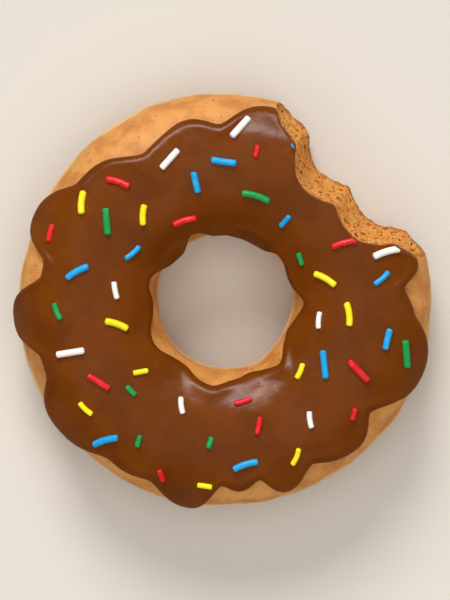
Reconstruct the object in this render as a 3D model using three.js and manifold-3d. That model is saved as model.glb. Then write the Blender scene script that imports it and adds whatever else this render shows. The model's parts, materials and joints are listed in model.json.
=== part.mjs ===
// A ring doughnut with chocolate icing and one bite taken out of it.
// Millimetres, +Z up. The origin is on the table, under the middle of the doughnut.
// The doughnut lies flat, and the bite is in the quarter between +X and +Y.

import * as THREE from "three";
import { ParametricGeometry } from "three/addons/geometries/ParametricGeometry.js";
import { mergeVertices } from "three/addons/utils/BufferGeometryUtils.js";
import Module from "manifold-3d";

// Driving dimensions, in millimetres.
const OUTER_DIAMETER = 89;
const HOLE_DIAMETER = 29;
const DOUGH_HEIGHT = 26.6;
const FOOT_DEPTH = 0.8; // how far the round underside is pressed flat
const ICING_THICKNESS = 1.9;
const ICING_ON_THE_SIDE = 0.6; // its share of that thickness where the dough is upright
const AIR_GAP = 0.45; // between the icing and the dough that it covers
const BITE_LEAN = 6; // how much further out the bite's wall is at the table than at the crown
const BITE_LEAN_TURN = 50; // degrees from +X towards +Y

const SQUARENESS = 2.2; // of the dough's section: 2 is an ellipse, more is fuller at its shoulders

// Facets round the hole and round the section.
const DOUGH_FACETS = [90, 20];
const ICING_FACETS = [120, 24];
const BITE_CURVE_FACETS = 7;

// The icing's two rims, as [degrees round the hole, degrees up the dough's side], one for each
// tip and each bay. On the outer rim 0 is the dough's widest line, and on the hole's rim it is
// the line where the hole is narrowest; 90 is the crown.
const OUTER_RIM = [
  [22, 50],
  [45, 32],
  [66, 50],
  [77, 36],
  [92, 60],
  [103, 55],
  [119, 68],
  [142, 46],
  [156, 12],
  [168, 49],
  [173, 49],
  [184, 6],
  [197, 43],
  [203, 42],
  [217, 12],
  [234, 38],
  [247, 40],
  [260, 13],
  [269, 52],
  [275, 44],
  [281, 52],
  [288, 31],
  [298, 50],
  [312, 34],
  [322, 55],
  [341, 12],
  [356, 48],
  [364, 56],
  [371, 38],
];
const HOLE_RIM = [
  [17, 20],
  [40, 28],
  [60, 0],
  [74, 10],
  [90, 16],
  [117, 33],
  [138, 8],
  [164, 37],
  [184, 31],
  [211, 46],
  [233, 36],
  [261, 49],
  [288, 36],
  [310, 44],
  [334, 28],
  [357, 40],
];

// How round each rim's bends are: less than 1 gives broad tips and narrow bays.
const OUTER_ROUNDNESS = 0.72;
const HOLE_ROUNDNESS = 0.8;

// The bite's corners, between the teeth, at the height of the crown: [degrees round, radius].
// Each tooth scoops out the stretch between two corners, to the depth given for it.
const BITE_CORNERS = [
  [78, 49],
  [65.5, 36.2],
  [41, 30.9],
  [18, 37.6],
  [4.5, 48.8],
];
const TOOTH_DEPTHS = [2.4, 3.9, 3.6, 0.4];

const RING_RADIUS = (OUTER_DIAMETER + HOLE_DIAMETER) / 4;
const HALF_WIDTH = (OUTER_DIAMETER - HOLE_DIAMETER) / 4;
const HALF_HEIGHT = (DOUGH_HEIGHT + FOOT_DEPTH) / 2;
const MIDDLE_HEIGHT = HALF_HEIGHT - FOOT_DEPTH;
const FULL_TURN = 2 * Math.PI;

const wasm = await Module();
wasm.setup();

/** The share by which the dough, shaped by hand, is fatter or thinner at this turn. */
function swell(turn) {
  return 0.012 * Math.cos(3 * turn + 0.9) + 0.009 * Math.cos(5 * turn + 2.4);
}

/** Puts target on the ring, standing proud of the dough. Angles are in radians. */
function setOnRing(target, turn, tilt, proud) {
  const fullness = 1 + swell(turn);
  const across = roundedShare(Math.cos(tilt)) * (HALF_WIDTH * fullness + proud);
  const up = roundedShare(Math.sin(tilt)) * (HALF_HEIGHT * fullness + proud);
  const radius = RING_RADIUS + across;
  const height = Math.max(MIDDLE_HEIGHT + up, 0);
  target.set(radius * Math.cos(turn), radius * Math.sin(turn), height);
}

function roundedShare(share) {
  return Math.sign(share) * Math.abs(share) ** (2 / SQUARENESS);
}

/** The height of a rim at this turn, in radians up the dough's side. */
function rimTilt(rim, roundness, turn) {
  const degrees = THREE.MathUtils.euclideanModulo(
    THREE.MathUtils.radToDeg(turn) - rim[0][0],
    360,
  );
  const next = rim.findIndex(([at]) => at - rim[0][0] > degrees);
  const to = next < 0 ? [rim[0][0] + 360, rim[0][1]] : rim[next];
  const from = next < 0 ? rim.at(-1) : rim[next - 1];
  const share = (degrees + rim[0][0] - from[0]) / (to[0] - from[0]);
  const towardsTip = from[1] < to[1] ? 1 - share : share;
  const drop = ((1 - Math.cos(Math.PI * towardsTip)) / 2) ** roundness;
  const [tip, bay] = [Math.min(from[1], to[1]), Math.max(from[1], to[1])];
  return THREE.MathUtils.degToRad(THREE.MathUtils.lerp(bay, tip, drop));
}

/** The whole ring of dough, before the bite. */
function doughGeometry() {
  return new ParametricGeometry(
    (u, v, target) => setOnRing(target, u * FULL_TURN, v * FULL_TURN, 0),
    ...DOUGH_FACETS,
  );
}

/** The icing: over the crown from rim to rim, and back along the dough. Both rims are round. */
function icingGeometry() {
  const place = (u, v, target) => {
    const turn = u * FULL_TURN;
    const onTop = v < 0.5;
    const swept = onTop ? (1 - Math.cos(FULL_TURN * v)) / 2 : 2 * (1 - v);
    const outer = rimTilt(OUTER_RIM, OUTER_ROUNDNESS, turn);
    const hole = Math.PI - rimTilt(HOLE_RIM, HOLE_ROUNDNESS, turn);
    const tilt = THREE.MathUtils.lerp(outer, hole, swept);
    const steepness = THREE.MathUtils.clamp(1 - Math.sin(tilt), 0, 1);
    const full = ICING_THICKNESS * THREE.MathUtils.lerp(1, ICING_ON_THE_SIDE, steepness);
    const thickness = full * Math.sqrt(1 - Math.abs(2 * swept - 1) ** 6);
    setOnRing(target, turn, tilt, AIR_GAP + (onTop ? thickness : 0));
  };
  return new ParametricGeometry(place, ...ICING_FACETS);
}

/** What the teeth took: their scoops and all outside them, leaning out towards the table. */
function biteGeometry() {
  const corners = BITE_CORNERS.map(([turn, radius]) =>
    new THREE.Vector2(radius, 0).rotateAround(
      new THREE.Vector2(),
      THREE.MathUtils.degToRad(turn),
    ),
  );
  const outline = new THREE.Shape([corners[0].clone()]);
  TOOTH_DEPTHS.forEach((depth, tooth) => {
    const [from, to] = [corners[tooth], corners[tooth + 1]];
    const along = to.clone().sub(from).normalize();
    const inward = new THREE.Vector2(along.y, -along.x);
    const middle = from.clone().add(to).multiplyScalar(0.5);
    middle.addScaledVector(inward, 2 * depth);
    outline.quadraticCurveTo(middle.x, middle.y, to.x, to.y);
  });
  outline.lineTo(OUTER_DIAMETER, corners.at(-1).y);
  outline.lineTo(OUTER_DIAMETER, OUTER_DIAMETER);
  outline.lineTo(corners[0].x, OUTER_DIAMETER);

  const crown = DOUGH_HEIGHT + AIR_GAP + ICING_THICKNESS;
  const spare = 5;
  const lean = THREE.MathUtils.degToRad(BITE_LEAN_TURN);
  const leanX = (-BITE_LEAN * Math.cos(lean)) / crown;
  const leanY = (-BITE_LEAN * Math.sin(lean)) / crown;
  return new THREE.ExtrudeGeometry(outline, {
    depth: crown + 2 * spare,
    steps: 1,
    bevelEnabled: false,
    curveSegments: BITE_CURVE_FACETS,
  })
    .translate(0, 0, -crown - spare)
    .applyMatrix4(new THREE.Matrix4().makeShear(0, 0, 0, 0, leanX, leanY))
    .translate(0, 0, crown);
}

/** A closed geometry as a solid that can be cut. */
function toSolid(geometry) {
  geometry.deleteAttribute("normal");
  geometry.deleteAttribute("uv");
  const merged = mergeVertices(geometry, 1e-3);
  return new wasm.Manifold(
    new wasm.Mesh({
      numProp: 3,
      vertProperties: merged.getAttribute("position").array,
      triVerts: new Uint32Array(merged.index.array),
    }),
  );
}

/** A solid as a named mesh of the scene. */
function toMesh(name, solid, material) {
  const { vertProperties, triVerts } = solid.getMesh();
  const geometry = new THREE.BufferGeometry();
  geometry.setAttribute("position", new THREE.BufferAttribute(vertProperties, 3));
  geometry.setIndex(new THREE.BufferAttribute(triVerts, 1));
  geometry.computeVertexNormals();
  const mesh = new THREE.Mesh(geometry, material);
  mesh.name = name;
  return mesh;
}

const friedDough = new THREE.MeshStandardMaterial({
  color: 0xc98a4b,
  roughness: 0.6,
  metalness: 0,
});
const chocolate = new THREE.MeshStandardMaterial({
  color: 0x723a08,
  roughness: 0.25,
  metalness: 0,
});

const bite = toSolid(biteGeometry());
const doughnut = new THREE.Group();
doughnut.add(toMesh("dough", toSolid(doughGeometry()).subtract(bite), friedDough));
doughnut.add(toMesh("icing", toSolid(icingGeometry()).subtract(bite), chocolate));

// The icing hangs further over some sides than others, so the whole is set over the origin.
const middle = new THREE.Box3().setFromObject(doughnut).getCenter(new THREE.Vector3());
doughnut.children.forEach((mesh) => mesh.geometry.translate(-middle.x, -middle.y, 0));

export default doughnut;
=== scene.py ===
# %% [markdown]
# # A bitten ring doughnut
#
# A ring of fried dough has been dipped in chocolate icing, scattered with sugar strands, and
# bitten once. The CAD model fixes the sizes. Blender adds what CAD leaves out: the crust with its
# pale line, the torn crumb at the bite, the icing's fat round rims and gloss, and the strands.

# %% Load the CAD model as the frame
import json
import math
import random

import bpy
import numpy as np
from mathutils import Matrix, Vector
from mathutils.bvhtree import BVHTree

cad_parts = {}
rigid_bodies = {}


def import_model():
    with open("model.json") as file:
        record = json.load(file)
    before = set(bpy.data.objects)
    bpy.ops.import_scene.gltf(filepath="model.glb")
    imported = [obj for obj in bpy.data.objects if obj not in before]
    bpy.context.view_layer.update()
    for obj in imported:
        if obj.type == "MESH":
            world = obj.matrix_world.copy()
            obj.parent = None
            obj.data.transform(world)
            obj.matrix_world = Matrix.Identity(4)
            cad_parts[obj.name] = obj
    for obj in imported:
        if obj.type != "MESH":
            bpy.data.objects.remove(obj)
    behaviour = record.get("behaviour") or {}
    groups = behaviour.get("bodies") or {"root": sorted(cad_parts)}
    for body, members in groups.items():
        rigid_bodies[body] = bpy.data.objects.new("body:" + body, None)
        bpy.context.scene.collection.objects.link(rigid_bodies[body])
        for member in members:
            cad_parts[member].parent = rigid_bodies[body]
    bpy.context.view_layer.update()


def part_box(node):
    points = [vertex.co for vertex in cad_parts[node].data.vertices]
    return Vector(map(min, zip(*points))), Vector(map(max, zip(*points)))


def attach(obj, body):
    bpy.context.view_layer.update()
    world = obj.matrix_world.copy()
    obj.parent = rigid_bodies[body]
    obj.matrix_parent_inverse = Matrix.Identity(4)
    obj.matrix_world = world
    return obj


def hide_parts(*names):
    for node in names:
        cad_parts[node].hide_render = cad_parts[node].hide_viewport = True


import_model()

# %% [markdown]
# ## The ring's measurements
#
# A doughnut is a ring with a fat round section. Two angles find any point on it: the turn round
# the hole, and the tilt round the section, where 0 is the widest line and a quarter turn is the
# crown. The frame gives the ring's middle and its outer radius, and the other sizes are the ones
# that the CAD source works from.

# %% Work out the ring from the frame
MM = 0.001
HOLE_RADIUS = 14.5 * MM
DOUGH_HEIGHT = 26.6 * MM
FOOT_DEPTH = 0.8 * MM  # how far the round underside is pressed flat
SQUARENESS = 2.2  # of the section: 2 is an ellipse, more is fuller at its shoulders

dough_low, dough_high = (Vector(corner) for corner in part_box("dough"))
RING_MIDDLE = (dough_low + dough_high) / 2
OUTER_RADIUS = (dough_high.x - dough_low.x) / 2
RING_RADIUS = (OUTER_RADIUS + HOLE_RADIUS) / 2
HALF_WIDTH = (OUTER_RADIUS - HOLE_RADIUS) / 2
HALF_HEIGHT = (DOUGH_HEIGHT + FOOT_DEPTH) / 2
WIDEST_HEIGHT = HALF_HEIGHT - FOOT_DEPTH
print(f"ring radius {RING_RADIUS / MM:.2f} mm, half width {HALF_WIDTH / MM:.2f} mm")


# %% A point on the ring
def rounded(share):
    return np.sign(share) * np.abs(share) ** (2 / SQUARENESS)


def swell(turn):
    """The share by which the dough, shaped by hand, is fatter or thinner at this turn."""
    # Two gentle waves, with three and with five swellings round the ring.
    return 0.012 * np.cos(3 * turn + 0.9) + 0.009 * np.cos(5 * turn + 2.4)


def on_ring(turn, tilt, proud):
    """Points at these turns and tilts, standing proud of the dough by that many metres."""
    fullness = 1 + swell(turn)
    radius = RING_RADIUS + rounded(np.cos(tilt)) * (HALF_WIDTH * fullness + proud)
    height = WIDEST_HEIGHT + rounded(np.sin(tilt)) * (HALF_HEIGHT * fullness + proud)
    across = RING_MIDDLE.x + radius * np.cos(turn)
    along = RING_MIDDLE.y + radius * np.sin(turn)
    return np.stack([across, along, np.maximum(height, 0)], axis=-1)


# %% [markdown]
# ## Shared tools
#
# Three jobs come back for nearly every piece: reading and writing a mesh's points, moulding a
# torus into a ring of dough or icing, and finishing with modifiers. Modifiers could stay live and
# be changed later. Here each is applied at once, so that the next step works on the real surface.

# %% Select, read and write
def take(piece):
    """Makes piece the only selected and the active object."""
    bpy.ops.object.select_all(action="DESELECT")
    piece.select_set(True)
    bpy.context.view_layer.objects.active = piece


def points_of(piece):
    points = np.empty(3 * len(piece.data.vertices), dtype=np.float32)
    piece.data.vertices.foreach_get("co", points)
    return points.reshape(-1, 3).astype(np.float64)


def set_points(piece, points):
    piece.data.vertices.foreach_set("co", points.astype(np.float32).ravel())
    piece.data.update()


def apply_modifier(piece, kind, **settings):
    """Adds a modifier of this kind with these settings, and applies it."""
    take(piece)
    modifier = piece.modifiers.new(kind.lower(), kind)
    for name, value in settings.items():
        setattr(modifier, name, value)
    bpy.ops.object.modifier_apply(modifier=modifier.name)


def smooth(piece, up_to):
    """Shades piece smooth, except across edges that turn by more than up_to degrees."""
    take(piece)
    bpy.ops.object.shade_smooth_by_angle(angle=math.radians(up_to))


def roughen(piece, grain, depth, seed=0.0):
    """Pushes the surface in and out by up to half of depth, in lumps as large as grain."""
    lumps = bpy.data.textures.new(f"lumps_{grain / MM:.1f}", "CLOUDS")
    lumps.noise_scale = grain
    lumps.noise_depth = 1
    anchor = bpy.data.objects.new("lumps_anchor", None)
    anchor.location = (seed, seed, seed)
    bpy.context.collection.objects.link(anchor)
    bpy.context.view_layer.update()
    apply_modifier(
        piece,
        "DISPLACE",
        texture=lumps,
        texture_coords="OBJECT",
        texture_coords_object=anchor,
        strength=depth,
        mid_level=0.5,
    )
    bpy.data.objects.remove(anchor)


# %% Mould a torus
def torus(name, facets_round, facets_section):
    bpy.ops.object.select_all(action="DESELECT")
    bpy.ops.mesh.primitive_torus_add(
        major_radius=RING_RADIUS,
        minor_radius=HALF_WIDTH,
        major_segments=facets_round,
        minor_segments=facets_section,
    )
    ring = bpy.context.object
    ring.name = name
    ring.data.name = name
    return ring


def mould(ring, rule):
    """Moves every point of a torus to where rule puts its turn and its tilt."""
    points = points_of(ring)
    turn = np.arctan2(points[:, 1], points[:, 0]) % (2 * math.pi)
    out = np.hypot(points[:, 0], points[:, 1]) - RING_RADIUS
    tilt = np.arctan2(points[:, 2], out) % (2 * math.pi)
    set_points(ring, rule(turn, tilt))


# %% [markdown]
# ## The dough
#
# The ring rose and was fried, so it is round and full, with a slightly lumpy crust and a foot
# where it lies. A torus has this form from the start, and only its section and its lumps have to
# be made. A sculpted sphere with a hole pushed through it would never be as even.

# %% Model the ring of dough
DOUGH_FACETS = (360, 108)

dough = torus("ring_dough", *DOUGH_FACETS)
mould(dough, lambda turn, tilt: on_ring(turn, tilt, 0))
roughen(dough, grain=9 * MM, depth=0.7 * MM)
roughen(dough, grain=3.2 * MM, depth=0.28 * MM)
pressed = points_of(dough)
pressed[:, 2] = np.maximum(pressed[:, 2], 0)
set_points(dough, pressed)
print("dough faces:", len(dough.data.polygons))

# %% Keep a copy of the whole ring
# The crumb's depth and the icing's underside are taken from the ring as it was before the bite.
take(dough)
bpy.ops.object.duplicate()
whole_ring = bpy.context.object
whole_ring.name = "whole_ring"
print("kept:", whole_ring.name)

# %% [markdown]
# ## The teeth
#
# Each tooth scooped out a stretch of the rim, so the bite's outline is a row of arcs that meet in
# ridges. Dough is soft, and its ridges are rubbed a little round. The jaw came in at a slant, and
# left more dough at the table than at the crown. A row of cylinders could cut the scoops, but
# their walls would be too smooth. So a flat grid is bent to the outline, torn a little, and
# thickened outwards into a block. Dough tears and icing snaps, so each has a block of its own.

# %% The bite's outline
# Corners between the teeth, as degrees round the hole and distance from the ring's middle.
BITE_CORNERS = [
    (78, 49 * MM),
    (65.5, 36.2 * MM),
    (41, 30.9 * MM),
    (18, 37.6 * MM),
    (4.5, 48.8 * MM),
]
TOOTH_DEPTHS = [2.4 * MM, 3.9 * MM, 3.6 * MM, 0.4 * MM]
BITE_LEAN = 6 * MM
BITE_LEAN_TURN = math.radians(50)
CROWN = 28.95 * MM  # the icing's height, where the outline above is taken
BITE_HOLLOW = 0.5 * MM  # how far in the wall is pressed at half its height
RIDGE = 0.7 * MM  # how far to each side of a corner its ridge is rubbed round
OUTLINE_POINTS = 1200
outward = np.array([math.cos(BITE_LEAN_TURN), math.sin(BITE_LEAN_TURN)])


def polar(degrees, radius):
    turn = math.radians(degrees)
    return np.array(
        [RING_MIDDLE.x + radius * math.cos(turn), RING_MIDDLE.y + radius * math.sin(turn)]
    )


def sharp_outline(share):
    """Points along the bite at the crown, for shares from 0 to 1 of the way, and its length."""
    corners = [polar(*corner) for corner in BITE_CORNERS]
    spans = [np.linalg.norm(b - a) for a, b in zip(corners, corners[1:])]
    ends = np.concatenate([[0], np.cumsum(spans)]) / sum(spans)
    points = np.empty((len(share), 2))
    for tooth, depth in enumerate(TOOTH_DEPTHS):
        start, end = corners[tooth], corners[tooth + 1]
        along = (end - start) / spans[tooth]
        pull = (start + end) / 2 + 2 * depth * np.array([along[1], -along[0]])
        chosen = (share >= ends[tooth]) & (share <= ends[tooth + 1])
        t = ((share[chosen] - ends[tooth]) / (ends[tooth + 1] - ends[tooth]))[:, None]
        points[chosen] = (1 - t) ** 2 * start + 2 * t * (1 - t) * pull + t**2 * end
    return points, sum(spans)


def rub_round(points, reach):
    """Each point moved to the mean of its neighbours, up to reach places to either side."""
    longer = np.pad(points, ((reach, reach), (0, 0)), mode="reflect", reflect_type="odd")
    window = np.ones(2 * reach + 1) / (2 * reach + 1)
    return np.column_stack([np.convolve(axis, window, mode="valid") for axis in longer.T])


even_shares = np.linspace(0, 1, OUTLINE_POINTS)
sharp, outline_length = sharp_outline(even_shares)
soft_outline = rub_round(sharp, round(RIDGE / outline_length * OUTLINE_POINTS))
print(f"bite, along its outline: {outline_length / MM:.1f} mm")


def bite_outline(share):
    return np.column_stack([np.interp(share, even_shares, axis) for axis in soft_outline.T])


def bite_wall(share, height, back=0.0):
    """Points on the bite's wall. It leans outwards on its way down, and is a little hollow."""
    hollow = BITE_HOLLOW * np.sin(math.pi * np.clip(height / CROWN, 0, 1))
    shift = BITE_LEAN * (CROWN - height) / CROWN - hollow + back
    flat = bite_outline(share) + shift[:, None] * outward
    return np.column_stack([flat, height])


# %% Model the blocks that cut
WALL_FACETS = (170, 100)
WALL_SPARE = 3 * MM  # how far the wall runs past the table and the crown
BLOCK_DEPTH = 40 * MM  # more than the ring is wide


def teeth(name, back, tears):
    """A block with the bite's wall on its inner side. tears lists (grain, depth) pairs."""
    bpy.ops.object.select_all(action="DESELECT")
    bpy.ops.mesh.primitive_grid_add(
        size=2, x_subdivisions=WALL_FACETS[0], y_subdivisions=WALL_FACETS[1]
    )
    block = bpy.context.object
    block.name = name
    flat = points_of(block)
    share = np.clip((flat[:, 0] + 1) / 2, 0, 1)
    height = -WALL_SPARE + (flat[:, 1] + 1) / 2 * (CROWN + 2 * WALL_SPARE)
    set_points(block, bite_wall(share, height, back))
    for grain, depth in tears:
        roughen(block, grain, depth)
    take(block)
    bpy.ops.object.mode_set(mode="EDIT")
    bpy.ops.mesh.select_all(action="SELECT")
    bpy.ops.mesh.extrude_region_move(
        TRANSFORM_OT_translate={"value": (*(BLOCK_DEPTH * outward), 0)}
    )
    bpy.ops.mesh.select_all(action="SELECT")
    bpy.ops.mesh.normals_make_consistent(inside=False)
    bpy.ops.object.mode_set(mode="OBJECT")
    return block


def cut_away(piece, tool):
    """Cuts tool out of piece. The manifold solver is quick, and wants both of them closed."""
    apply_modifier(piece, "BOOLEAN", operation="DIFFERENCE", solver="MANIFOLD", object=tool)


tearing_teeth = teeth(
    "tearing_teeth", back=0.0, tears=[(2.8 * MM, 0.9 * MM), (1.0 * MM, 0.35 * MM)]
)
snapping_teeth = teeth("snapping_teeth", back=0.05 * MM, tears=[(3.5 * MM, 0.35 * MM)])
cut_away(dough, tearing_teeth)
print("bitten dough faces:", len(dough.data.polygons))

# %% [markdown]
# ## The crumb
#
# Inside, risen dough is full of bubbles, and a bite opens hundreds of them. Painted dots would
# look flat from the side, so the bubbles are real hollows. One small sphere is modelled, and its
# copies are stretched, turned, dented and set along the wall. Bubbles of one batch never touch,
# which keeps the cut clean. The coarse batch is cut first, and the fine one then breaks into it
# here and there, as in real crumb.

# %% Choose the bubbles
# How many there are of each radius, at most.
COARSE_BUBBLES = [(5, 1.6 * MM), (26, 1.15 * MM), (90, 0.8 * MM)]
FINE_BUBBLES = [(330, 0.46 * MM), (560, 0.28 * MM)]
SIZE_SPREAD = (0.75, 1.3)  # the least and the most of each radius
ALONG_THE_WALL = (0.02, 0.98)  # shares of the way along the bite
LOWEST = 0.5 * MM
BEHIND_THE_WALL = (-0.2, 0.75)  # in radii
CRUST_DEPTH = 0.45 * MM  # no bubble comes nearer to the crust
TALLNESS = 1.5  # bubbles are this much taller than wide, as the dough rose upwards
SPACING = 1.1  # of two bubbles' middles, in sums of their radii
TRIES = 60  # at finding a place for each bubble

chance = random.Random(7)
ring_surface = BVHTree.FromObject(whole_ring, bpy.context.evaluated_depsgraph_get())


def depth_below_crust(point):
    """How far inside the whole ring a point lies. Outside it, the depth is negative."""
    nearest, normal, _, distance = ring_surface.find_nearest(point)
    return distance if (point - nearest).dot(normal) < 0 else -distance


def apart(spot, other):
    """How far apart two bubbles' middles are, for bubbles that are taller than wide."""
    gap = spot - other
    return math.hypot(gap.x, gap.y, gap.z / TALLNESS)


def choose_bubbles(sizes):
    """Places and radii of bubbles along the wall, so that none touch."""
    chosen = []
    for count, radius in sizes:
        for _ in range(TRIES * count):
            if count == 0:
                break
            size = radius * chance.uniform(*SIZE_SPREAD)
            share = np.array([chance.uniform(*ALONG_THE_WALL)])
            height = np.array([chance.uniform(LOWEST, CROWN)])
            spot = Vector(bite_wall(share, height)[0])
            spot -= Vector((*outward, 0)) * size * chance.uniform(*BEHIND_THE_WALL)
            if depth_below_crust(spot) < TALLNESS * size + CRUST_DEPTH:
                continue
            if any(apart(spot, other) < SPACING * (size + near) for other, near in chosen):
                continue
            chosen.append((spot, size))
            count -= 1
    return chosen


# %% Model one bubble and cut all of them
def copies_of(blank, name, placements):
    """One mesh with a copy of blank at each placement, a 4 by 4 matrix."""
    points = np.column_stack([points_of(blank), np.ones(len(blank.data.vertices))])
    faces = [tuple(face.vertices) for face in blank.data.polygons]
    all_points = [(points @ np.array(matrix).T)[:, :3] for matrix in placements]
    all_faces = [
        tuple(corner + copy * len(points) for corner in face)
        for copy in range(len(placements))
        for face in faces
    ]
    mesh = bpy.data.meshes.new(name)
    mesh.from_pydata(np.concatenate(all_points).tolist(), [], all_faces)
    joined = bpy.data.objects.new(name, mesh)
    bpy.context.collection.objects.link(joined)
    return joined


def bubble_shape(spot, size):
    """A bubble as long as its size, narrower the other ways, turned at random, then raised."""
    narrow, flat = chance.uniform(0.55, 0.9), chance.uniform(0.6, 0.9)
    stretch = Matrix.Diagonal((size, size * narrow, size * flat, 1))
    axis = Vector([chance.uniform(-1, 1) for _ in range(3)]).normalized()
    turned = Matrix.Rotation(chance.uniform(0, math.pi), 4, axis)
    raised = Matrix.Diagonal((1, 1, TALLNESS, 1))
    return Matrix.Translation(spot) @ raised @ turned @ stretch


def cut_bubbles(sizes, subdivisions, grain, depth):
    """Cuts bubbles of these sizes out of the dough, dented by up to half of depth."""
    bpy.ops.object.select_all(action="DESELECT")
    bpy.ops.mesh.primitive_ico_sphere_add(subdivisions=subdivisions, radius=1)
    bubble = bpy.context.object
    chosen = choose_bubbles(sizes)
    foam = copies_of(bubble, "foam", [bubble_shape(*one) for one in chosen])
    roughen(foam, grain, depth)
    cut_away(dough, foam)
    bpy.data.objects.remove(foam)
    bpy.data.objects.remove(bubble)
    print("bubbles:", len(chosen))


def keep_one_surface(piece):
    """Deletes all that isn't joined to the point farthest from the bite."""
    farthest = (points_of(piece)[:, :2] @ outward).argmin()
    take(piece)
    bpy.ops.object.mode_set(mode="EDIT")
    bpy.ops.mesh.select_mode(type="VERT")
    bpy.ops.mesh.select_all(action="DESELECT")
    bpy.ops.object.mode_set(mode="OBJECT")
    piece.data.vertices[farthest].select = True
    bpy.ops.object.mode_set(mode="EDIT")
    bpy.ops.mesh.select_linked()
    bpy.ops.mesh.select_all(action="INVERT")
    bpy.ops.mesh.delete(type="VERT")
    bpy.ops.object.mode_set(mode="OBJECT")


cut_bubbles(COARSE_BUBBLES, 3, grain=0.9 * MM, depth=0.4 * MM)
cut_bubbles(FINE_BUBBLES, 2, grain=0.5 * MM, depth=0.1 * MM)
keep_one_surface(dough)  # a bubble that no tooth reached, and a crumb that came loose, both go
print("dough faces with its crumb:", len(dough.data.polygons))

# %% [markdown]
# The dough's colour depends on how deep a spot lay below the crust before the bite. Two materials
# would meet in a hard line, so each point keeps that depth as an attribute instead, and one
# material reads it.

# %% Note the depth below the crust
depth_note = dough.data.attributes.new("depth", "FLOAT", "POINT")
depths = [
    ring_surface.find_nearest(vertex.co)[3] / MM for vertex in dough.data.vertices
]
depth_note.data.foreach_set("value", depths)
smooth(dough, up_to=48)
print("deepest crumb, mm:", round(max(depths), 1))

# %% [markdown]
# ## The icing
#
# The ring was dipped in warm icing and turned over, and the icing ran down in lobes before it
# set. Its rims are fat and round, because the surface of a liquid pulls itself round. The usual
# way is to thicken a copy of the dough's upper faces. Here a second torus is moulded instead: most
# of its section goes over the top and the rest runs back inside the dough, and its two rims follow
# the lobes exactly. Cutting the dough out of it leaves a layer that fits the crust everywhere.

# %% The icing's two rims
# Each tip and each bay, as degrees round the hole and degrees up the side of the dough.
OUTER_RIM = [
    (22, 50), (45, 32), (66, 50), (77, 36), (92, 60), (103, 55), (119, 68), (142, 46),
    (156, 12), (168, 49), (173, 49), (184, 6), (197, 43), (203, 42), (217, 12), (234, 38),
    (247, 40), (260, 13), (269, 52), (275, 44), (281, 52), (288, 31), (298, 50), (312, 34),
    (322, 55), (341, 12), (356, 48), (364, 56), (371, 38),
]
HOLE_RIM = [
    (17, 20), (40, 28), (60, 0), (74, 10), (90, 16), (117, 33), (138, 8), (164, 37),
    (184, 31), (211, 46), (233, 36), (261, 49), (288, 36), (310, 44), (334, 28), (357, 40),
]
# How round each rim's bends are: less than 1 gives broad tips and narrow bays.
OUTER_ROUNDNESS = 0.72
HOLE_ROUNDNESS = 0.8
# Degrees by which each rim wavers.
OUTER_WAVER = 1.1
HOLE_WAVER = 0.6


def rim_tilt(rim, roundness, waver, turn):
    """How far up the dough's side a rim lies at each turn, in radians."""
    at = np.array([degrees for degrees, _ in rim] + [rim[0][0] + 360], dtype=float)
    up = np.array([tilt for _, tilt in rim] + [rim[0][1]], dtype=float)
    degrees = at[0] + (np.degrees(turn) - at[0]) % 360
    span = np.clip(np.searchsorted(at, degrees, side="right") - 1, 0, len(rim) - 1)
    share = (degrees - at[span]) / (at[span + 1] - at[span])
    start, end = up[span], up[span + 1]
    towards_tip = np.where(start < end, 1 - share, share)
    drop = ((1 - np.cos(math.pi * towards_tip)) / 2) ** roundness
    bay, tip = np.maximum(start, end), np.minimum(start, end)
    # Two quick waves keep the rim from being too even.
    uneven = waver * (np.sin(13 * turn + 0.8) + 0.7 * np.sin(23 * turn + 2.1))
    return np.radians(bay + (tip - bay) * drop + uneven)


# %% Mould the icing
ICING_FACETS = (480, 120)
TOP_SHARE = 0.75  # of the section's facets. The rest run back inside the dough.
ICING_THICKNESS = 2.15 * MM
ICING_ON_THE_SIDE = 0.52  # its share of that thickness where the dough is upright
NOSE = 1.5 * MM  # how far in from a rim the icing reaches its full thickness
BEAD = 0.22  # the share by which it is thicker just behind a rim
BEAD_PLACE = 1.6 * NOSE
BEAD_WIDTH = 1.1 * NOSE
BURIED = 0.9 * MM  # how far inside the dough the underside is moulded, before it is cut


def icing_rule(turn, tilt):
    way = tilt / (2 * math.pi)
    on_top = way < TOP_SHARE
    over = (1 - np.cos(math.pi * np.clip(way / TOP_SHARE, 0, 1))) / 2
    swept = np.where(on_top, over, (1 - way) / (1 - TOP_SHARE))
    outer = rim_tilt(OUTER_RIM, OUTER_ROUNDNESS, OUTER_WAVER, turn)
    hole = math.pi - rim_tilt(HOLE_RIM, HOLE_ROUNDNESS, HOLE_WAVER, turn)
    place = outer + (hole - outer) * swept
    from_rim = np.minimum(swept, 1 - swept) * (hole - outer) * HALF_WIDTH
    nose = np.sqrt(1 - (1 - np.clip(from_rim / NOSE, 0, 1)) ** 2)
    bead = 1 + BEAD * np.exp(-(((from_rim - BEAD_PLACE) / BEAD_WIDTH) ** 2))
    steep = np.clip(1 - np.sin(place), 0, 1)
    full = ICING_THICKNESS * (1 + (ICING_ON_THE_SIDE - 1) * steep)
    below = -BURIED * np.sqrt(np.clip(np.sin(math.pi * swept), 0, 1))
    return on_ring(turn, place, np.where(on_top, full * nose * bead, below))


icing = torus("chocolate_icing", *ICING_FACETS)
mould(icing, icing_rule)
roughen(icing, grain=11 * MM, depth=0.5 * MM, seed=0.31)
cut_away(icing, whole_ring)
cut_away(icing, snapping_teeth)
smooth(icing, up_to=50)
print("icing faces:", len(icing.data.polygons))

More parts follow.
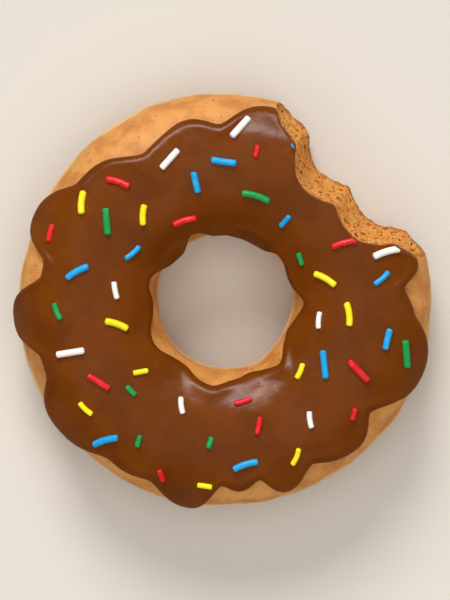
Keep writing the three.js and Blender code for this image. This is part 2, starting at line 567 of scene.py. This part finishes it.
# %% Note where the icing snapped
# The break is dull, so its faces are marked for the material.
TOUCHING = 0.01 * MM
snap_surface = BVHTree.FromObject(snapping_teeth, bpy.context.evaluated_depsgraph_get())
broken_note = icing.data.attributes.new("broken", "FLOAT", "FACE")
broken = [
    float(snap_surface.find_nearest(face.center)[3] < TOUCHING) for face in icing.data.polygons
]
broken_note.data.foreach_set("value", broken)
print("faces on the break:", int(sum(broken)))

# %% [markdown]
# ## The sugar strands
#
# The strands are short rods of coloured sugar with blunt, rounded ends. Some are bent, because
# they dried on a tray in loose heaps. They fell on wet icing and sank in a little. They could be
# scattered by chance, but then two would cross sooner or later, so each has its own place. One rod
# is modelled. Each copy is stretched, bent and laid on the icing where a line dropped from above
# meets it, along the icing's slope.

# %% The strands, colour by colour
# (turn in degrees, distance from the ring's middle, heading in degrees, length, bend in degrees)
STRANDS = {
    "red": [
        (132, 34.1, -19, 5.4, -34), (117, 19.3, 17, 5.3, -30), (159, 40.0, 78, 3.9, 0),
        (78, 32.5, 78, 2.8, 0), (25.7, 28.3, 15, 5.6, -24), (213, 32.2, -32, 5.5, -8),
        (250, 39.9, -70, 2.6, 0), (332, 32.3, -47, 6.1, 4), (280, 22.2, 17, 3.9, 20),
        (285, 27.9, 78, 3.9, 0), (318.5, 36.8, 76, 2.7, 0),
    ],
    "blue": [
        (90.6, 29.6, -8, 5.5, 5), (104, 26.0, 103, 4.6, 0), (153, 22.2, 41, 4.2, 26),
        (169, 32.3, 29, 5.5, -26), (66.3, 37.1, 75, 2.8, 0), (52.7, 21.3, 48, 3.0, 0),
        (7.7, 33.9, 41, 4.2, 24), (229.4, 39.4, 17, 5.5, -26), (346.4, 35.7, 77, 4.6, 0),
        (327, 25.4, 96, 6.1, 3), (277, 35.4, 18, 5.6, -26),
    ],
    "green": [
        (146.4, 30.4, 95, 5.8, 0), (73.4, 23.4, -17, 6.3, -30), (28.6, 18.5, -72, 2.8, 0),
        (184, 36.1, 111, 3.9, -34), (224, 28.0, -45, 2.8, 0), (238.5, 35.4, 75, 2.6, 0),
        (264, 30.7, 73, 2.6, 0), (343.4, 40.4, 95, 5.9, 0),
    ],
    "yellow": [
        (145.8, 37.1, 85, 5.0, -26), (134, 25.4, 86, 4.5, -26), (12.2, 22.1, -30, 5.3, -28),
        (192.4, 23.8, -19, 5.2, -28), (220.4, 23.8, 10, 3.3, 0), (218, 37.9, -43, 3.8, 30),
        (263.8, 40.0, -9, 3.3, 0), (353.5, 26.8, 97, 5.2, 30), (316.7, 22.3, 67, 3.6, 26),
        (294.5, 36.9, 68, 3.9, 32),
    ],
    "white": [
        (111.4, 32.4, 48, 5.5, 0), (175, 23.7, 101, 3.8, -16), (85, 37.1, 48, 5.6, 0),
        (16.7, 36.0, 17, 6.0, -22), (198.8, 34.9, 9, 6.1, 0), (247.4, 24.5, 97, 3.7, -26),
        (347.8, 20.6, 85, 3.7, -24), (305.3, 31.4, 98, 3.7, -22),
    ],
}
LONG_STRAND = 4.4 * MM
STRAND_WIDTHS = (1.2 * MM, 1.45 * MM)  # of the short ones and of the long ones
STRAND_SUNK = 0.3  # the share of its width that is below the icing
MOST_STRETCH = 1.25  # on steep icing, where a strand looks shorter from above


# %% Model one strand
END_ROUNDING = 0.3  # of a strand's width
CUTS = 11  # across the shaft, so that it can bend


def select_edges(piece, wanted):
    """Opens piece in edit mode, with the edges selected whose two ends pass the test."""
    bpy.ops.object.mode_set(mode="EDIT")
    bpy.ops.mesh.select_mode(type="EDGE")
    bpy.ops.mesh.select_all(action="DESELECT")
    bpy.ops.object.mode_set(mode="OBJECT")
    for edge in piece.data.edges:
        edge.select = wanted(*(piece.data.vertices[corner].co for corner in edge.vertices))
    bpy.ops.object.mode_set(mode="EDIT")


def straight_strand():
    """A rod of width 1 and length 1 along X, with rounded ends and a shaft that can bend."""
    bpy.ops.object.select_all(action="DESELECT")
    bpy.ops.mesh.primitive_cylinder_add(
        vertices=20, radius=0.5, depth=1, rotation=(0, math.pi / 2, 0)
    )
    rod = bpy.context.object
    bpy.ops.object.transform_apply(rotation=True)
    select_edges(rod, lambda start, end: abs(start.x - end.x) < 0.5)
    bpy.ops.mesh.bevel(offset=END_ROUNDING, segments=4)
    bpy.ops.object.mode_set(mode="OBJECT")
    select_edges(rod, lambda start, end: abs(start.x - end.x) > 0.5 - END_ROUNDING)
    bpy.ops.mesh.subdivide(number_cuts=CUTS)
    bpy.ops.object.mode_set(mode="OBJECT")
    return rod


def stretched(points, length, width):
    """The rod's points at this width, with its two ends moved apart to this length."""
    wide = points * width
    shaft = (0.5 - END_ROUNDING) * width
    wide[:, 0] += np.clip(wide[:, 0] / shaft, -1, 1) * (length - width) / 2
    return wide


rod = straight_strand()
print("strand faces:", len(rod.data.polygons))


# %% Lay the strands
def lie_on_icing(turn, radius, heading):
    """Where a strand lies, how it is turned, with Z out of the icing, and how steep it lies."""
    x, y = polar(turn, radius)
    hit, spot, normal, _ = icing.ray_cast((x, y, 2 * CROWN), (0, 0, -1))
    if not hit:
        spot = Vector((x, y, CROWN))
        normal = Vector((0, 0, 1))
    flat = Vector((math.cos(math.radians(heading)), math.sin(math.radians(heading)), 0))
    flat.z = -flat.dot(normal) / normal.z
    along = flat.normalized()
    side = normal.cross(along).normalized()
    up = along.cross(side)
    return spot, Matrix((along, side, up)).transposed().to_4x4(), flat.length


def strand(colour, number, turn, radius, heading, length, bend):
    width = STRAND_WIDTHS[length * MM > LONG_STRAND] * chance.uniform(0.95, 1.05)
    spot, facing, slope = lie_on_icing(turn, radius * MM, heading)
    long = min(length * MM * slope, MOST_STRETCH * length * MM)
    copy = rod.copy()
    copy.data = rod.data.copy()
    copy.name = f"{colour}_{number}"
    bpy.context.collection.objects.link(copy)
    set_points(copy, stretched(points_of(copy), long, width))
    if bend:
        apply_modifier(
            copy,
            "SIMPLE_DEFORM",
            deform_method="BEND",
            deform_axis="Z",
            angle=math.radians(bend),
        )
    middle = spot + facing.to_3x3() @ Vector((0, 0, width * (0.5 - STRAND_SUNK)))
    copy.data.transform(Matrix.Translation(middle) @ facing)
    return copy


heaps = {}
for colour, places in STRANDS.items():
    laid = [strand(colour, number, *place) for number, place in enumerate(places)]
    take(laid[0])
    for piece in laid:
        piece.select_set(True)
    bpy.ops.object.join()
    heap = bpy.context.object
    heap.name = f"{colour}_strands"
    heap.data.name = heap.name
    cut_away(heap, snapping_teeth)
    smooth(heap, up_to=40)
    heaps[colour] = heap
    print(heap.name, len(places), "strands,", len(heap.data.polygons), "faces")

# %% Put the tools away
for tool in (whole_ring, tearing_teeth, snapping_teeth, rod):
    bpy.data.objects.remove(tool)
print("pieces:", [piece.name for piece in (dough, icing, *heaps.values())])

# %% [markdown]
# ## Finishes
#
# Baked dough, cut crumb, set chocolate and sugar all have blotches of colour and a fine relief,
# only of different sizes. Two node groups make these once: one gives a soft-edged mask of
# blotches, the other a height with coarse and fine grain. Each material sets its own sizes.

# %% Node helpers
def fill(tree, socket, value):
    """Links socket to value if that is another node's socket, and otherwise sets it."""
    if isinstance(value, bpy.types.NodeSocket):
        tree.links.new(value, socket)
    else:
        socket.default_value = value


def add_node(tree, kind, settings=None, **inputs):
    """A node of this kind. inputs holds values or other nodes' sockets, by input name."""
    node = tree.nodes.new(kind)
    for name, value in (settings or {}).items():
        setattr(node, name, value)
    for name, value in inputs.items():
        fill(tree, node.inputs[name.replace("_", " ")], value)
    return node


def colour_of(red, green, blue):
    """A colour given as on a screen, from 0 to 255, in the form that nodes take."""
    shares = [channel / 255 for channel in (red, green, blue)]
    linear = [
        share / 12.92 if share <= 0.04045 else ((share + 0.055) / 1.055) ** 2.4 for share in shares
    ]
    return (*linear, 1)


def remap(tree, value, low, high, to_low=0.0, to_high=1.0):
    """value from low to high, as a smooth step from to_low to to_high."""
    node = add_node(
        tree,
        "ShaderNodeMapRange",
        {"interpolation_type": "SMOOTHSTEP"},
        Value=value,
        From_Min=low,
        From_Max=high,
        To_Min=to_low,
        To_Max=to_high,
    )
    return node.outputs["Result"]


def blend(tree, mask, first, second):
    """first where mask is 0 and second where it is 1. Both are colours or sockets."""
    node = tree.nodes.new("ShaderNodeMix")
    node.data_type = "RGBA"
    colour_sockets = [socket for socket in node.inputs if socket.type == "RGBA"]
    fill(tree, node.inputs[0], mask)
    fill(tree, colour_sockets[0], first)
    fill(tree, colour_sockets[1], second)
    return next(socket for socket in node.outputs if socket.type == "RGBA")


def arithmetic(tree, operation, *terms):
    node = tree.nodes.new("ShaderNodeMath")
    node.operation = operation
    for socket, term in zip(node.inputs, terms):
        fill(tree, socket, term)
    return node.outputs[0]


# %% Two shared node groups
def new_group(name, inputs, outputs):
    """An empty node group with float inputs, given as {name: default}, and float outputs."""
    group = bpy.data.node_groups.new(name, "ShaderNodeTree")
    group.interface.new_socket("Vector", in_out="INPUT", socket_type="NodeSocketVector")
    for title, default in inputs.items():
        socket = group.interface.new_socket(title, in_out="INPUT", socket_type="NodeSocketFloat")
        socket.default_value = default
    for title in outputs:
        group.interface.new_socket(title, in_out="OUTPUT", socket_type="NodeSocketFloat")
    return group, group.nodes.new("NodeGroupInput"), group.nodes.new("NodeGroupOutput")


def blotches_group():
    """Soft blotches: Mask is 0 between them and 1 on them."""
    group, given, result = new_group("blotches", {"Scale": 200, "Start": 0.4, "End": 0.6}, ["Mask"])
    vector, scale = given.outputs["Vector"], given.outputs["Scale"]
    noise = add_node(group, "ShaderNodeTexNoise", Vector=vector, Scale=scale, Detail=3)
    mask = remap(group, noise.outputs["Fac"], given.outputs["Start"], given.outputs["End"])
    group.links.new(mask, result.inputs["Mask"])
    return group


def relief_group():
    """A height from coarse lumps and fine grain. Fine Share says how much the grain counts."""
    group, given, result = new_group(
        "relief", {"Coarse Scale": 300, "Fine Scale": 1500, "Fine Share": 0.4}, ["Height"]
    )
    vector = given.outputs["Vector"]
    lumps, grain = (
        add_node(group, "ShaderNodeTexNoise", Vector=vector, Scale=given.outputs[scale])
        for scale in ("Coarse Scale", "Fine Scale")
    )
    mixed = add_node(
        group,
        "ShaderNodeMix",
        Factor=given.outputs["Fine Share"],
        A=lumps.outputs["Fac"],
        B=grain.outputs["Fac"],
    )
    group.links.new(mixed.outputs["Result"], result.inputs["Height"])
    return group


BLOTCHES = blotches_group()
RELIEF = relief_group()


# %% Start a material, fill it in and give it
def new_material(name):
    """A material with its Principled shader and the object coordinates, ready to fill in."""
    material = bpy.data.materials.new(name)
    material.use_nodes = True
    tree = material.node_tree
    tree.nodes.clear()
    shader = tree.nodes.new("ShaderNodeBsdfPrincipled")
    output = tree.nodes.new("ShaderNodeOutputMaterial")
    tree.links.new(shader.outputs["BSDF"], output.inputs["Surface"])
    place = tree.nodes.new("ShaderNodeTexCoord").outputs["Object"]
    return material, tree, shader, place


def blotches(tree, place, scale, start, end):
    node = add_node(
        tree,
        "ShaderNodeGroup",
        {"node_tree": BLOTCHES},
        Vector=place,
        Scale=scale,
        Start=start,
        End=end,
    )
    return node.outputs["Mask"]


def relief(tree, place, coarse, fine, fine_share):
    node = add_node(
        tree,
        "ShaderNodeGroup",
        {"node_tree": RELIEF},
        Vector=place,
        Coarse_Scale=coarse,
        Fine_Scale=fine,
        Fine_Share=fine_share,
    )
    return node.outputs["Height"]


def bump(tree, height, distance, under=None):
    """A normal from a height, which stands for distance metres from 0 to 1."""
    below = {"Normal": under} if under else {}
    node = add_node(
        tree, "ShaderNodeBump", Strength=1, Distance=distance, Height=height, **below
    )
    return node.outputs["Normal"]


def finish(piece, material):
    piece.data.materials.clear()
    piece.data.materials.append(material)
    print(piece.name, "is finished as", material.name)


# %% [markdown]
# ### Crust and crumb
#
# The crust is browned where the fat was hot, in blotches, and paler round the widest line, which
# floated above the fat. Behind it comes a thin dry layer, and then the soft crumb, which is golden
# and matt. The crust could be painted on by hand. Here the height finds the pale line and the
# depth attribute tells crust from crumb, so the brown line at the bite's edge comes by itself.

# %% Finish the dough
GOLDEN = colour_of(226, 158, 84)
BROWNED = colour_of(204, 132, 62)
SPECK = colour_of(164, 96, 42)
PALE = colour_of(244, 204, 142)
DRY_CRUMB = colour_of(176, 102, 42)
LIGHT_CRUMB = colour_of(231, 161, 77)
DEEP_CRUMB = colour_of(220, 144, 58)
LINE_WANDER = 7 * MM  # how far the pale line strays up and down
LINE_EDGES = (1.2 * MM, 4.2 * MM)  # where it starts to fade, and where it ends
# Millimetres below the surface, from where to where one gives way to the next.
CRUST_TO_CRUMB = (0.02, 0.2)
DRY_TO_SOFT = (0.35, 1.7)


def dough_material():
    material, tree, shader, place = new_material("fried_dough")
    depth = add_node(tree, "ShaderNodeAttribute", {"attribute_name": "depth"}).outputs["Fac"]
    height = add_node(tree, "ShaderNodeSeparateXYZ", Vector=place).outputs["Z"]

    fried = blend(tree, blotches(tree, place, scale=210, start=0.38, end=0.66), GOLDEN, BROWNED)
    speckled = blend(tree, blotches(tree, place, scale=900, start=0.6, end=0.78), fried, SPECK)
    wander = relief(tree, place, coarse=90, fine=500, fine_share=0.2)
    wavy = arithmetic(tree, "MULTIPLY_ADD", wander, LINE_WANDER, -WIDEST_HEIGHT - LINE_WANDER / 2)
    off_line = arithmetic(tree, "ABSOLUTE", arithmetic(tree, "ADD", height, wavy))
    crust = blend(tree, remap(tree, off_line, *LINE_EDGES, 1, 0), speckled, PALE)

    mottled = blotches(tree, place, scale=330, start=0.35, end=0.7)
    soft = blend(tree, mottled, LIGHT_CRUMB, DEEP_CRUMB)
    crumb = blend(tree, remap(tree, depth, *DRY_TO_SOFT), DRY_CRUMB, soft)
    inside = remap(tree, depth, *CRUST_TO_CRUMB)
    tree.links.new(blend(tree, inside, crust, crumb), shader.inputs["Base Color"])
    matt = remap(tree, inside, 0, 1, to_low=0.5, to_high=0.85)
    tree.links.new(matt, shader.inputs["Roughness"])

    pores = add_node(tree, "ShaderNodeTexVoronoi", Vector=place, Scale=1500.0).outputs["Distance"]
    open_pores = remap(tree, pores, 0.05, 0.5)
    crumb_height = arithmetic(tree, "MULTIPLY", open_pores, inside)
    grain = relief(tree, place, coarse=420, fine=2400, fine_share=0.35)
    rough = bump(tree, grain, 0.35 * MM)
    porous = bump(tree, crumb_height, 0.16 * MM, rough)
    tree.links.new(porous, shader.inputs["Normal"])

    shader.inputs["Subsurface Weight"].default_value = 0.25
    shader.inputs["Subsurface Radius"].default_value = (1, 0.55, 0.28)
    shader.inputs["Subsurface Scale"].default_value = 1.6 * MM
    return material


finish(dough, dough_material())

# %% [markdown]
# ### Chocolate icing
#
# Set icing is glossy and dark, but not a mirror: it has dried with a faint skin, so the gloss is
# broken by slow waves, duller patches and pinholes where small bubbles burst. Cocoa and sugar
# leave slight streaks of colour. A painted highlight would stay put when the view turns, so the
# shine comes from the roughness and the relief alone. Where the icing snapped, it is dull.

# %% Finish the icing
CHOCOLATE = colour_of(116, 56, 1)
DARK_CHOCOLATE = colour_of(104, 49, 1)
SNAPPED_CHOCOLATE = colour_of(126, 64, 16)


def icing_material():
    material, tree, shader, place = new_material("set_chocolate")
    streaks = blotches(tree, place, scale=120, start=0.35, end=0.7)
    streaked = blend(tree, streaks, CHOCOLATE, DARK_CHOCOLATE)
    broken = add_node(tree, "ShaderNodeAttribute", {"attribute_name": "broken"}).outputs["Fac"]
    snapped = blend(tree, broken, streaked, SNAPPED_CHOCOLATE)
    tree.links.new(snapped, shader.inputs["Base Color"])

    dull = blotches(tree, place, scale=260, start=0.4, end=0.75)
    satin = remap(tree, dull, 0, 1, to_low=0.24, to_high=0.32)
    chalky = remap(tree, broken, 0, 1, to_low=0, to_high=0.65)
    tree.links.new(arithmetic(tree, "MAXIMUM", satin, chalky), shader.inputs["Roughness"])

    skin = relief(tree, place, coarse=150, fine=900, fine_share=0.12)
    waves = bump(tree, skin, 0.25 * MM)
    spots = add_node(tree, "ShaderNodeTexVoronoi", Vector=place, Scale=420.0).outputs["Distance"]
    foamy = blotches(tree, place, scale=300, start=0.52, end=0.56)
    unbroken = remap(tree, foamy, 0, 1, to_low=1, to_high=0)
    burst = arithmetic(tree, "MAXIMUM", remap(tree, spots, 0.04, 0.11), unbroken)
    pinholes = bump(tree, burst, 0.12 * MM, waves)
    tree.links.new(pinholes, shader.inputs["Normal"])
    shader.inputs["IOR"].default_value = 1.36
    return material


finish(icing, icing_material())

# %% [markdown]
# ### Sugar strands
#
# Pressed sugar is slightly see-through, with a waxy shine and a grain that can be felt. One
# material could read its colour from each strand, but a library part is easier to recolour with a
# material for each. Only the colour differs, so one function makes all five.

# %% Finish the strands
STRAND_COLOURS = {
    "red": (226, 20, 28),
    "blue": (0, 166, 232),
    "green": (8, 160, 80),
    "yellow": (255, 236, 6),
    "white": (250, 248, 243),
}
CHALK = 0.9  # the lightness of dry sugar
CHALK_SHARE = 0.08  # of it in a strand's pale blotches


def strand_material(name, screen_colour):
    material, tree, shader, place = new_material(f"{name}_sugar")
    full = colour_of(*screen_colour)
    pale = [(1 - CHALK_SHARE) * share + CHALK_SHARE * CHALK for share in full[:3]] + [1]
    colour = blend(tree, blotches(tree, place, scale=900, start=0.5, end=0.8), full, pale)
    tree.links.new(colour, shader.inputs["Base Color"])
    waxy = blotches(tree, place, scale=1400, start=0.4, end=0.7)
    dullness = remap(tree, waxy, 0, 1, to_low=0.3, to_high=0.45)
    tree.links.new(dullness, shader.inputs["Roughness"])
    grain = relief(tree, place, coarse=900, fine=4000, fine_share=0.4)
    tree.links.new(bump(tree, grain, 0.07 * MM), shader.inputs["Normal"])
    shader.inputs["Coat Weight"].default_value = 0.15
    shader.inputs["Subsurface Weight"].default_value = 0.15
    shader.inputs["Subsurface Scale"].default_value = 0.4 * MM
    return material


for name, screen_colour in STRAND_COLOURS.items():
    finish(heaps[name], strand_material(name, screen_colour))

# %% [markdown]
# ## Tie the pieces to the frame
#
# The two CAD nodes keep their collision, and the finished dough and icing stand for them. All
# pieces ride on the one body.

# %% Ride and replace
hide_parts("dough")
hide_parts("icing")
for piece in (dough, icing, *heaps.values()):
    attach(piece, "root")
print("pieces on the body:", 2 + len(heaps))

# %% [markdown]
# ## The set
#
# The doughnut lies on a plain pale table and is seen from straight above. A long lens keeps its
# outline a true circle. A soft box close by would light one side of the table more than the other,
# so two wide suns give the even light: one from behind, at the top of the picture, and one from
# nearly straight above. The icing doesn't mirror them. It mirrors a narrow strip lamp at the back,
# which draws one clean line of shine, and sees the table and the surround darker than they are, as
# with dark cards round the plate. Otherwise a grey haze would lie over the chocolate. Colours are
# shown in the standard way, with no film look.

# %% The table
TABLE_RADIUS = 6  # metres, so that its edge is never seen
TABLE_PAINT = colour_of(215, 210, 202)
PAINT_IN_GLOSS = colour_of(128, 114, 92)


def table_paint():
    """Plain pale paint, which gloss reflects darker."""
    material, tree, shader, _ = new_material("table_paint")
    in_gloss = tree.nodes.new("ShaderNodeLightPath").outputs["Is Glossy Ray"]
    paint = blend(tree, in_gloss, TABLE_PAINT, PAINT_IN_GLOSS)
    tree.links.new(paint, shader.inputs["Base Color"])
    shader.inputs["Roughness"].default_value = 0.8
    return material


bpy.ops.object.select_all(action="DESELECT")
bpy.ops.mesh.primitive_circle_add(vertices=96, radius=TABLE_RADIUS, fill_type="NGON")
table = bpy.context.object
table.name = "table"
finish(table, table_paint())

# %% The lamps
BEHIND = (-0.2, 1.1, 1.0)
ABOVE = (0, -0.2, 1)
WARM_WHITE = (1.0, 0.985, 0.96)
SUNS = {"key": (BEHIND, 2.1, 25), "fill": (ABOVE, 1.5, 70)}  # place, strength, degrees wide
STRIP_POWER = 14
STRIP_SIZE = (1.3, 0.26)  # metres


def lamp(kind, name, place, power, tint=(1, 1, 1)):
    """A lamp of this kind at place, turned towards the doughnut. Returns its data and object."""
    data = bpy.data.lights.new(name, kind)
    data.energy = power
    data.color = tint
    holder = bpy.data.objects.new(name, data)
    holder.location = place
    towards = Vector((0, 0, WIDEST_HEIGHT)) - Vector(place)
    holder.rotation_euler = towards.to_track_quat("-Z", "Y").to_euler()
    bpy.context.collection.objects.link(holder)
    print(name, "lamp at", place)
    return data, holder


for name, (place, strength, spread) in SUNS.items():
    data, holder = lamp("SUN", name, place, strength, WARM_WHITE)
    data.angle = math.radians(spread)
    holder.visible_glossy = False

data, holder = lamp("AREA", "strip", BEHIND, STRIP_POWER)
data.shape = "RECTANGLE"
data.size, data.size_y = STRIP_SIZE
holder.visible_camera = False
holder.visible_diffuse = False

# %% The surround
SURROUND = colour_of(240, 236, 230)
STRENGTH_AS_LIGHT = 0.34
STRENGTH_IN_GLOSS = 0.1
STRENGTH_SEEN = 0.9

world = bpy.data.worlds.new("surround")
world.use_nodes = True
sky = world.node_tree
rays = sky.nodes.new("ShaderNodeLightPath").outputs
dimmed = remap(sky, rays["Is Glossy Ray"], 0, 1, STRENGTH_AS_LIGHT, STRENGTH_IN_GLOSS)
seen = remap(sky, rays["Is Camera Ray"], 0, 1, 0, STRENGTH_SEEN)
background = sky.nodes["Background"]
background.inputs["Color"].default_value = SURROUND
sky.links.new(arithmetic(sky, "MAXIMUM", dimmed, seen), background.inputs["Strength"])
bpy.context.scene.world = world
bpy.context.scene.view_settings.view_transform = "Standard"
print("surround nodes:", len(sky.nodes))

# %% The camera
PICTURE = (450, 600)
LENS = 500  # millimetres
SENSOR = 36  # millimetres along the picture's longer side
DOUGHNUT_SHARE = 0.9156  # of the picture's width

picture_width = 2 * OUTER_RADIUS / DOUGHNUT_SHARE
distance = picture_width * PICTURE[1] / PICTURE[0] * LENS / SENSOR
camera = bpy.data.cameras.new("camera")
camera.lens = LENS
camera.sensor_width = SENSOR
camera.clip_end = 20  # metres
viewer = bpy.data.objects.new("camera", camera)
viewer.location = (RING_MIDDLE.x, RING_MIDDLE.y, WIDEST_HEIGHT + distance)
bpy.context.collection.objects.link(viewer)
bpy.context.scene.camera = viewer
print(f"camera {viewer.location.z:.3f} m above the table")
